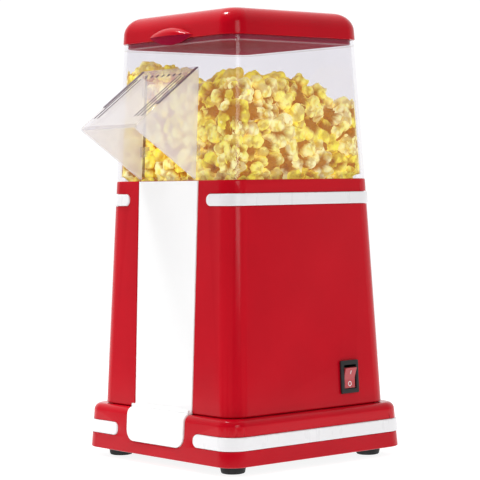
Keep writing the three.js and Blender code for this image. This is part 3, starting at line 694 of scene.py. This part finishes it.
def make_chute():
    """A clear awning: a ribbed, sloping roof on two triangular cheeks, hooked into the hood's opening."""
    low, high = box_mm("chute")
    half, wall, edge = 30.0, CHUTE_WALL, 1.1
    tip_y, tip_z, top, bottom = low.y, CHUTE_TIP_Z, CHUTE_TOP, CHUTE_BOTTOM

    def back(z):
        return CENTRE - HOOD.half(z)[1] - 0.3

    slope = atan2(top - tip_z, back(top) - tip_y)
    drop = wall / cos(slope)

    def section(roof, foot, depth_of):
        inner, ceiling = half - wall, roof - drop
        inside = [(inner, foot), (inner, ceiling), (-inner, ceiling), (-inner, foot)]
        return [(x, depth_of(z), z) for x, z in crowned(half, foot, roof, edge) + inside]

    shell = loft([section(tip_z, tip_z - drop - 0.5, lambda z: tip_y), section(top, bottom, back)])
    hooks = []
    for side in (-1, 1):
        for z in CHUTE_HOOKS:
            face = CENTRE - HOOD.half(z)[1]
            xs = sorted((side * (MOUTH_HALF - 2), side * (MOUTH_HALF - 0.3)))
            hooks.append(rounded_box((xs[0], face - 2.2, z), (xs[1], face + HOOD_WALL + 2.6, z + 7), 0.4, 2))
    chute = add("clear_chute", together(shell, *hooks), CLEAR_CHUTE, 40)
    paint_faces(chute, CLEAR_CHEEK, lambda p, n: abs(n.x) > 0.7 and p.y < back(p.z) - 0.5)
    settle(chute, "hood", "clear_plastic", "chute")

    lean = Matrix.Translation((0, back(top), top)) @ Matrix.Rotation(slope, 4, "X")

    def strip(x, width, start, end, height):
        return moved(rounded_box((x - width / 2, -end, -0.3), (x + width / 2, -start, height), 0.14, 2), lean)

    length = hypot(top - tip_z, back(top) - tip_y)
    trims = [strip(side * (half - 1.3), 2.4, 0.8, length * 0.66, 0.3) for side in (-1, 1)]
    ribs = [strip(x, 0.55, length * 0.16, length * 0.86, 0.22) for x in (25.5, 21.5, 18.2, -25.5, -22)]
    studs = []
    dome = [(0.01, 0.32), (0.5, 0.3), (0.85, 0.2), (1.0, 0.0), (1.0, -0.2), (0.01, -0.2)]
    stud = lathe(dome, 20, closed=False)
    long_way = Matrix.Diagonal((0.8, 1.5, 1, 1))
    for k in range(7):
        studs.append(moved(stud, lean @ Matrix.Translation((-18 + 6 * k, -8.0, 0.1)) @ long_way))
    # The chute's edge strips, ribs and studs take the darkened clear plastic: painted shade.
    settle(add("chute_trims", together(*trims), SHADED_CLEAR), "hood", "clear_plastic")
    settle(add("chute_ribs", together(*ribs, *studs), SHADED_CLEAR), "hood", "clear_plastic")


def make_lid():
    round_edge, crown, high = LID_EDGE_ROUND, LID_CROWN, LID_HIGH
    outside = [(0.5, LID_EDGE), (0.1, LID_EDGE + 0.2), (0, LID_EDGE + 0.7), (0.1, LID_EDGE + 2.0)]
    for k in range(15):
        turn = pi / 28 * k
        inset = 0.35 + round_edge * (1 - cos(turn))
        outside.append((inset, high - crown - round_edge + round_edge * sin(turn)))
    for share in (0.2, 0.45, 0.75, 0.97):
        inset = 0.35 + round_edge + share * (44 - round_edge)
        outside.append((inset, high - crown * (1 - share) ** 2))
    inside = []
    for inset, z in outside[4:]:
        inside.append((inset + LID_WALL * (1 if z < high - 4 else 0.2), z - LID_WALL))
    inside = [(LID_WALL, LID_EDGE)] + [pair for pair in inside if pair[1] > LID_EDGE + 1]

    def lid_ring(inset, z):
        half_x, half_y = (size - inset for size in LID.half(LID_EDGE))
        return rounded_outline(half_x, half_y, max(CORNER - inset * 0.62, 5.0), z)

    rings = [lid_ring(inset, z) for inset, z in inside[::-1] + outside]
    lid = add("lid_cover", together(loft(rings), lid_grip()), RED)
    grip_face, grip_crease = CENTRE - LID.half(LID_EDGE)[1], LID_LOW + GRIP_CREASE
    # The faces under the grip's lip take the darker red: painted shade in the undercut.
    paint_faces(lid, SHADED_RED, lambda p, n: p.y < grip_face - 0.3 and p.z < grip_crease - 0.05)
    settle(lid, "lid", "red_shell", "lid")

    low, rim = box_mm("lid_liner")
    inset = HOOD_WALL + 0.6
    wall, middle, floor = inset + LINER_PLATE, inset + 40, low.z + LINER_PLATE
    outline = [(middle, low.z), (inset + 0.5, low.z), (inset, low.z + 0.5), (inset, rim.z), (wall, rim.z),
               (wall, floor), (middle, floor)]
    liner = loft([ring(HOOD, z, i) for i, z in outline])
    # The liner takes the darker red: painted shade under the lid, seen through the hood.
    settle(add("lid_inner", liner, SHADED_RED), "lid", "red_shell", "lid_liner")


def lid_grip():
    """An eyelid-shaped lip on the lid's front: a bulging upper half over an undercut lower half."""
    half, low, high, reach = 22.5, LID_LOW, LID_LOW + 11.4, 7.0
    crease = low + GRIP_CREASE
    face = CENTRE - LID.half(LID_EDGE)[1]
    clear_of_hood = CENTRE - HOOD.half(HOOD_TOP)[1] - 0.5
    sections = []
    for k in range(41):
        u = -1 + k / 20
        swell = max(1 - u * u, 0.0)
        out = reach * swell ** 0.62
        upper, lower = crease + (high - crease) * swell, crease - (crease - low) * swell
        section = [(face + 1.2, upper + 0.01)]
        for i in range(9):
            turn = pi / 2 * i / 8
            height = crease + (upper - crease) * cos(turn) + 0.01
            section.append((face - out * sin(turn) ** 1.15, height))
        for i in range(1, 8):
            share = i / 7
            back = face - out + (out - 1.2 * swell) * share ** 0.5
            section.append((back, crease - (crease - lower) * share ** 1.4))
        behind = min(face + 1.2, clear_of_hood)
        section.append((max(behind, face - 0.8), lower - 0.01 if swell else crease - 0.01))
        section.append((behind, crease - 0.02))
        section.append((face + 1.2, max(crease, LID_EDGE + 0.6)))
        sections.append([(half * u, y, z) for y, z in section])
    return loft(sections)


# ---- Cup and deck, seen when the hood is off ----

def make_cup():
    low, high = box_mm("popping_chamber")
    bottom, top, rim, wall, dome = 39.0, 44.0, 50.0, 1.4, 7.0
    floor, under_rim = low.z + wall, high.z - wall
    outside = [(0.02, low.z + dome), (8, low.z + dome - 0.8), (16, low.z + 3.6), (22, low.z + 1), (26, low.z),
               (bottom - 1.6, low.z), (bottom - 0.4, low.z + 0.5), (bottom, low.z + 1.8),
               (top, under_rim - 1.5), (top + 0.5, under_rim - 0.4), (top + 1.8, under_rim),
               (rim - 0.5, under_rim), (rim, high.z - wall / 2), (rim - 0.5, high.z)]
    inside = [(top + 1, high.z), (top - 0.7, high.z - 0.7), (top - wall, high.z - 2.4),
              (bottom - wall, low.z + 3), (bottom - wall - 1, floor + 0.3), (bottom - wall - 2.4, floor),
              (26, floor), (22, floor + 1), (16, floor + 3.6), (8, floor + dome - 0.8), (0.02, floor + dome)]
    cup = add("popping_cup", placed(lathe(outside + inside, 72, closed=False), y=CENTRE), ALUMINIUM)
    slots = []
    for k in range(8):
        slot = rounded_box((bottom - 8, -1.2, -7), (top + 4, 1.2, 7), 0.9, 3)
        turn = Matrix.Rotation(radians(45 * k), 4, "Z") @ Matrix.Translation((0, 0, low.z + 16))
        lean = Matrix.Rotation(radians(25), 4, "X")
        slots.append(moved(slot, Matrix.Translation((0, CENTRE, 0)) @ turn @ lean))
    subtract(cup, *slots)
    settle(cup, "base", "aluminium", "popping_chamber")

    deck_low, deck_high = box_mm("top_deck")
    inset = 3.5
    outline = [(inset + 0.5, deck_low.z), (inset, deck_low.z + 0.5), (inset, deck_high.z - 0.6),
               (inset + 0.6, deck_high.z)]
    deck = add("deck_plate", loft([ring(BODY, z, i) for i, z in outline]), RED)
    below, above = deck_low.z - 3, deck_high.z + 3
    bore = lathe([(0.02, below), (CUP_BORE, below), (CUP_BORE, above), (0.02, above)], 72, closed=False)
    subtract(deck, placed(bore, y=CENTRE))
    settle(deck, "base", "red_shell", "top_deck")


# ---- Feet, grommet and switch ----

def make_feet():
    for k in range(1, 5):
        low, high = box_mm(f"foot_{k}")
        radius, height, bore, recess = (high.x - low.x) / 2, high.z, 1.8, 3.7
        outline = [(recess, 0.3), (recess + 0.3, 0), (radius - 2.2, 0), (radius - 1.4, 0.25),
                   (radius - 0.9, 0.9), (radius - 0.2, height - 0.9), (radius, height - 0.3),
                   (radius - 0.1, height), (bore, height), (bore, 2.6), (recess - 0.3, 2.6), (recess, 2.3)]
        foot = placed(lathe(outline, 40), (low.x + high.x) / 2, (low.y + high.y) / 2)
        settle(add(f"rubber_foot_{k}", foot, RUBBER), "base", "rubber_foot", f"foot_{k}")


def make_foot_screws():
    for k in range(1, 5):
        low, high = box_mm(f"foot_screw_{k}")
        head, shank, under = (high.x - low.x) / 2, 1.5, low.z + 2
        outline = [(0.02, low.z), (head * 0.6, low.z + 0.12), (head * 0.9, low.z + 0.6), (head, low.z + 1.2),
                   (head, under), (shank, under)]
        z, thread = under + 0.6, []
        while z < high.z - 1.5:
            thread += [(shank - 0.3, z), (shank, z + 0.3)]
            z += 0.75
        outline += thread + [(0.3, high.z), (0.02, high.z)]
        place = Matrix.Translation(((low.x + high.x) / 2, (low.y + high.y) / 2, 0))
        screw = add(f"steel_screw_{k}", moved(lathe(outline, 28, closed=False), place), STEEL)
        arm_sizes = ((1.7, 0.35), (0.35, 1.7))
        arms = [rounded_box((-x, -y, low.z - 1), (x, y, low.z + 1), 0.1, 1) for x, y in arm_sizes]
        subtract(screw, *[moved(arm, place) for arm in arms])
        settle(screw, "base", "steel", f"foot_screw_{k}")


def make_grommet():
    low, high = box_mm("cord_grommet")
    wall = CENTRE + BODY.half((low.z + high.z) / 2)[1]
    outline = [(3.6, -6), (4.4, -6), (4.7, -5.6), (4.7, 0.5), (7.0, 0.5), (7.0, 1.9), (6.7, 2.5), (5.2, 3.4),
               (4.6, 3.6), (3.9, 3.5), (3.6, 3.2)]
    place = Matrix.Translation(((low.x + high.x) / 2, wall, (low.z + high.z) / 2))
    shape = moved(lathe(outline, 40), place @ Matrix.Rotation(radians(-90), 4, "X"))
    settle(add("inlet_grommet", shape, BLACK), "base", "black_plastic", "cord_grommet")


def switch_place():
    """The middle of the switch's bezel on the wall, and the way it faces."""
    joint = next(j for j in frame["joints"] if j["name"] == "rocker_press")
    width_change = BODY.half(BODY_LOW.z)[0] - BODY.half(BODY_HIGH.z)[0]
    lean = atan2(width_change, BODY_HIGH.z - BODY_LOW.z)
    outward = Vector((cos(lean), 0, sin(lean)))
    return Vector(joint["pos_m"]) / MM + outward * 3.0, lean


def switch_matrix():
    """Places a shape made with X pointing out of the wall and its origin on the wall."""
    origin, lean = switch_place()
    return Matrix.Translation(origin) @ Matrix.Rotation(-lean, 4, "Y")


def make_switch():
    on_wall = switch_matrix()
    bezel = rounded_box((0.3, -8, -11), (2.0, 8, 11), 0.7, 3)
    pocket = rounded_box((-7, -5.4, -8), (9, 5.4, 8), 0.5, 2)
    housing = add("switch_frame", bezel, BLACK)
    subtract(housing, pocket)
    case = add("switch_case", rounded_box((-15, -6.6, -8.6), (0.6, 6.6, 8.6), 0.5, 2), BLACK)
    subtract(case, pocket)
    for thing in (housing, case):
        put(thing, on_wall)
    settle(housing, "base", "black_plastic", "switch_housing")
    settle(case, "base", "black_plastic")

    half_width, half_height, tilt, pivot, middle = 5.0, 6.9, radians(10), -3.0, 1.2
    rise = half_height * tan(tilt)
    outline = []
    for k in range(-8, 9):
        up = half_height * k / 8
        out = middle + rise * sqrt((k / 8) ** 2 + 0.02) - pivot
        outline.append((out, up))
    outline += [(middle + rise - pivot - 3, half_height), (-2.5, 2.5), (-2.5, -2.5),
                (middle + rise - pivot - 3, -half_height)]
    sides = [[(x, y, z) for x, z in outline] for y in (-half_width, half_width)]
    rocker = add("rocker_button", loft(sides), ROCKER_RED, 25)
    rounding = rocker.modifiers.new("bevel", "BEVEL")
    rounding.width, rounding.segments = 0.35 * MM, 3
    rounding.limit_method, rounding.angle_limit = "ANGLE", radians(50)
    bake_modifiers(rocker)
    shade(rocker, 40)
    turned = Matrix.Translation((pivot, 0, 0)) @ Matrix.Rotation(tilt, 4, "Y")
    place = on_wall @ turned
    put(rocker, place)
    settle(rocker, "rocker", "rocker_red", "switch_rocker")

    def face_place(up):
        side = 1 if up > 0 else -1
        out = middle + rise * abs(up) / half_height - pivot + 0.1
        return place @ Matrix.Translation((out, 0, up)) @ Matrix.Rotation(side * tilt, 4, "Y")

    bar = moved(rounded_box((-0.2, -0.3, -1.3), (0.12, 0.3, 1.3), 0.06, 2), face_place(3.9))
    loop = []
    for k in range(28):
        turn = 2 * pi * k / 28
        spoke = [(1.0, -0.2), (1.5, -0.2), (1.5, 0.06), (1.42, 0.12), (1.08, 0.12), (1.0, 0.06)]
        loop.append([(out, r * cos(turn), r * sin(turn) * 1.15) for r, out in spoke])
    zero = moved(loft(loop, closed=True), face_place(-3.9))
    settle(add("rocker_marks", together(bar, zero), MARK), "rocker", "rocker_red")


# ---- Popcorn ----

def sphere_net(subdivisions):
    bm = bmesh.new()
    bmesh.ops.create_icosphere(bm, subdivisions=subdivisions, radius=1)
    points, faces = taken(bm)
    return np.array(points), np.array(faces)


def random_way(rng):
    way = rng.normal(size=3)
    return way / np.linalg.norm(way)


def kernel(directions, rng):
    """A popped kernel of rounded lobes and buds: its points, and their shares of painted crease shade and of hull.
    """

    def bumps(count, widths, heights):
        rows = []
        for _ in range(count):
            turn = np.arccos(np.clip(directions @ random_way(rng), -1, 1)) / radians(rng.uniform(*widths))
            rows.append(rng.uniform(*heights) * np.sqrt(np.clip(1 - turn ** 2, 0, 1)))
        return np.sort(np.array(rows), axis=0)

    lobes = bumps(rng.integers(9, 13), (28, 48), (0.36, 0.64))
    buds = bumps(60, (10, 18), (0.09, 0.22))
    toward_hull = np.clip((directions @ random_way(rng) - 0.82) / 0.14, 0, 1)
    reach = (0.42 + lobes[-1] + buds[-1]) * (1 - 0.42 * toward_hull)
    # Where lobes meet, in low hollows and between buds, the share of painted crease shade rises.
    crease = np.exp(-(((lobes[-1] - lobes[-2]) / 0.05) ** 2)) * np.clip((0.52 - lobes[-1]) / 0.2, 0, 1)
    deep = np.clip((0.30 - lobes[-1]) / 0.2, 0, 1)
    bud_crease = 0.5 * np.clip((0.05 - buds[-1]) / 0.05, 0, 1)
    return directions * reach[:, None], np.clip(0.5 * crease + 0.9 * deep + bud_crease, 0, 1), toward_hull


def turned_at_random(rng):
    q = rng.normal(size=4)
    w, x, y, z = q / np.linalg.norm(q)
    return np.array([
        [1 - 2 * (y * y + z * z), 2 * (x * y - z * w), 2 * (x * z + y * w)],
        [2 * (x * y + z * w), 1 - 2 * (x * x + z * z), 2 * (y * z - x * w)],
        [2 * (x * z - y * w), 2 * (y * z + x * w), 1 - 2 * (x * x + y * y)],
    ])


def fill_height(x, y):
    """How high the popcorn stands: heaped up at the left of the front, lower towards the back."""
    back = min(max((y - CENTRE - 15) / 42, 0), 1)
    left = min(max((-10 - x) / 22, 0), 1) * min(max((CENTRE - y) / 25, 0), 1)
    return 250.0 - 9.0 * back + 12.0 * left


def popcorn_places(rng):
    """Middles of the kernels: courses against the four walls, a second row behind them and a heap on top."""
    places = []
    for course, z in enumerate(np.arange(186.0, 260.0, 11.5)):
        half_x, half_y = HOOD.half(z)
        for depth, pitch in ((11.0, 14.5), (24.0, 19.0)):
            along_x, along_y = half_x - depth, half_y - depth
            around = 4 * (along_x + along_y)
            count = int(around / pitch)
            for k in range(count):
                s = (k + 0.5 * (course % 2) + rng.uniform(-0.22, 0.22)) / count * around % around
                half_way = s >= 2 * (along_x + along_y)
                s -= 2 * (along_x + along_y) * half_way
                x, y = (-along_x + s, -along_y) if s < 2 * along_x else (along_x, -along_y + s - 2 * along_x)
                x, y = (-x, -y) if half_way else (x, y)
                up = z + rng.uniform(-2.5, 2.5)
                if up < fill_height(x, y + CENTRE) - 5:
                    places.append((x, y + CENTRE, up))
        for side, end in ((-1, -1), (1, -1), (1, 1), (-1, 1)):
            x, y, up = side * (half_x - 8), CENTRE + end * (half_y - 8), z + rng.uniform(-2.5, 2.5)
            if up < fill_height(x, y) - 5:
                places.append((x, y, up))
    for x in np.arange(-44.0, 45.0, 14.5):
        for y in np.arange(-40.0, 41.0, 14.5):
            at = (x + rng.uniform(-4, 4), y + CENTRE + rng.uniform(-4, 4))
            places.append((*at, fill_height(*at) - 4 + rng.uniform(-4, 5)))
    return places


def popcorn_core(rng):
    """A rough mass behind the kernels, so that no gap between them looks through the heap; make_popcorn darkens it
    with painted crease shade.
    """
    points, faces = sphere_net(5)
    box_like = points / np.abs(points).max(axis=1)[:, None]
    rounded = 0.55 * points / np.linalg.norm(points, axis=1)[:, None] * 1.25 + 0.45 * box_like
    rounded *= 1 + rng.uniform(-0.03, 0.03, size=(len(points), 1))
    half_x, half_y = HOOD.half(215)
    return rounded * (half_x - 17, half_y - 17, 28) + (0, CENTRE, 207), faces


def keep_inside_hood(points):
    """Presses a kernel flat where it would pass through the hood's walls, its rounded corners or its ledge."""
    inset = np.where(points[:, 2] < LEDGE_Z + 0.7, 6.2, HOOD_WALL + 0.5)
    halves = np.array([HOOD.half(z) for z in points[:, 2]])
    limit_x, limit_y = halves[:, 0] - inset, halves[:, 1] - inset
    points[:, 0] = np.clip(points[:, 0], -limit_x, limit_x)
    points[:, 1] = np.clip(points[:, 1], CENTRE - limit_y, CENTRE + limit_y)
    corner = 12.0
    dx = np.abs(points[:, 0]) - (limit_x - corner)
    dy = np.abs(points[:, 1] - CENTRE) - (limit_y - corner)
    away = np.hypot(dx, dy)
    outside = (dx > 0) & (dy > 0) & (away > corner)
    pull = np.where(outside, 1 - corner / np.maximum(away, 1e-6), 0.0)
    points[:, 0] -= np.sign(points[:, 0]) * dx * pull
    points[:, 1] -= np.sign(points[:, 1] - CENTRE) * dy * pull
    points[:, 2] = np.clip(points[:, 2], HEAP_BOTTOM, HEAP_TOP)


def make_popcorn():
    """Kernels that lie against the hood's walls without passing through them. They ride in the hood."""
    rng = np.random.default_rng(20)
    directions, faces = sphere_net(4)
    kinds = [kernel(directions, rng) for _ in range(14)]
    all_points, all_faces, all_shares = [], [], []
    for number, place in enumerate(popcorn_places(rng)):
        points, crease, hull = kinds[rng.integers(len(kinds))]
        stretch = rng.uniform(0.85, 1.15, size=3)
        size = rng.uniform(*KERNEL_SIZE)
        points = (points * stretch) @ turned_at_random(rng).T * size + np.array(place)
        keep_inside_hood(points)
        cream = float(np.clip(rng.normal(0.35, 0.3), 0, 1))
        hulls, ones = hull * (rng.random() < 0.6), np.ones(len(crease))
        shares = np.stack([crease, hulls, ones * cream, ones], 1)
        all_faces.append(faces + len(directions) * number)
        all_points.append(points)
        all_shares.append(shares)
    start = sum(len(rows) for rows in all_points)
    core_points, core_faces = popcorn_core(rng)
    all_points.append(core_points)
    all_faces.append(core_faces + start)
    # The core takes a crease share of 0.6: painted shade in the gaps between the kernels.
    all_shares.append(np.tile((0.6, 0.0, 0.0, 1.0), (len(core_points), 1)))
    points, faces, shares = (np.concatenate(rows) for rows in (all_points, all_faces, all_shares))
    mesh = bpy.data.meshes.new("popcorn")
    mesh.from_pydata((points * MM).tolist(), [], faces.tolist())
    attribute = mesh.attributes.new("kernel", "FLOAT_COLOR", "POINT")
    attribute.data.foreach_set("color", shares.astype(np.float32).ravel())
    mesh.materials.append(POPCORN)
    mesh.shade_smooth()
    settle(linked("popcorn", mesh), "hood", None)


# ---- Studio ----

def make_camera():
    azimuth, pitch, roll = (radians(a) for a in (49.79, 1.70, -0.78))
    ahead = Vector((-sin(azimuth), cos(azimuth), 0))
    right = Vector((cos(azimuth), sin(azimuth), 0))
    up = Vector((0, 0, 1))
    forward = ahead * cos(pitch) - up * sin(pitch)
    upward = up * cos(pitch) + ahead * sin(pitch)
    across = right * cos(roll) + upward * sin(roll)
    above = upward * cos(roll) - right * sin(roll)
    camera = linked("camera", bpy.data.cameras.new("camera"))
    camera.matrix_world = Matrix.Translation((0.96527, -0.79983, 0.184755)) @ Matrix(
        (across, above, -forward)).transposed().to_4x4()
    camera.data.sensor_width = 36
    camera.data.lens = 138.55
    camera.data.shift_x = -0.0020
    camera.data.shift_y = -0.0010
    bpy.context.scene.camera = camera


def make_floor():
    n = Nodes("floor")
    shader = n.principled(Specular_IOR_Level=0.1, Emission_Strength=0.88, Emission_Color=(1, 1, 1, 1))
    greys = n.mix(n.spread(n.noise(3, 3), 0, 1), (0.29, 0.29, 0.29), (0.31, 0.31, 0.31))
    n.link(greys, shader.inputs["Base Color"])
    n.link(n.spread(n.noise(20, 3), 0.75, 0.85), shader.inputs["Roughness"])
    corners = [(-FLOOR_REACH, -FLOOR_REACH, 0), (FLOOR_REACH, -FLOOR_REACH, 0),
               (FLOOR_REACH, FLOOR_REACH, 0), (-FLOOR_REACH, FLOOR_REACH, 0)]
    floor = add("floor", (corners, [(0, 1, 2, 3)]), n.finished(shader))


def area_light(name, place, target, width, height, power):
    lamp = bpy.data.lights.new(name, "AREA")
    lamp.shape = "RECTANGLE"
    lamp.size, lamp.size_y, lamp.energy = width, height, power
    thing = linked(name, lamp)
    thing.location = place
    thing.rotation_euler = (Vector(target) - Vector(place)).to_track_quat("-Z", "Y").to_euler()
    return thing


def make_world():
    """A white backdrop. Its light is bright from behind the object and dimmer from before its near corner."""
    world = bpy.data.worlds.new("studio")
    bpy.context.scene.world = world
    world.use_nodes = True
    new, link = world.node_tree.nodes.new, world.node_tree.links.new
    background = fill(world.node_tree.nodes["Background"], Strength=1.06)
    dot = new("ShaderNodeVectorMath")
    dot.operation = "DOT_PRODUCT"
    dot.inputs[1].default_value = (0.62, -0.78, -0.1)
    link(new("ShaderNodeTexCoord").outputs["Generated"], dot.inputs[0])
    span = fill(new("ShaderNodeMapRange"), From_Min=-0.7, From_Max=0.4, To_Min=1.0, To_Max=0.12)
    span.interpolation_type = "SMOOTHSTEP"
    link(dot.outputs["Value"], span.inputs["Value"])
    seen = fill(new("ShaderNodeMix"), B=1.0)
    link(new("ShaderNodeLightPath").outputs["Is Camera Ray"], seen.inputs["Factor"])
    link(span.outputs["Result"], seen.inputs["A"])
    link(seen.outputs["Result"], background.inputs["Color"])


def make_studio():
    make_floor()
    make_world()
    key = area_light("key_left", (-0.62, -0.85, 0.42), (0, -0.03, 0.12), 0.5, 0.6, 3.9)
    fill = area_light("fill_right", (1.2, 0.35, 0.45), (0, -0.03, 0.12), 0.6, 0.6, 0.6)
    top = area_light("overhead", (0.2, -0.3, 1.5), (0, 0, 0.1), 1.2, 1.2, 5.5)
    for lamp in (key, fill, top):
        lamp.visible_glossy = False
    area_light("corner_strip", (1.14, -0.42, 0.62), (0, 0, 0.62), 0.45, 0.8, 5.0)
    area_light("spark", (-0.48, -0.25, 1.46), (0, 0, 0.28), 0.14, 0.3, 12.0)
    bpy.context.scene.view_settings.view_transform = "Standard"


make_camera()
make_studio()
finish_cad_nodes()
make_tower()
make_plinth()
make_bands()
make_panel()
make_hood()
make_chute()
make_lid()
make_cup()
make_feet()
make_foot_screws()
make_grommet()
make_switch()
make_popcorn()
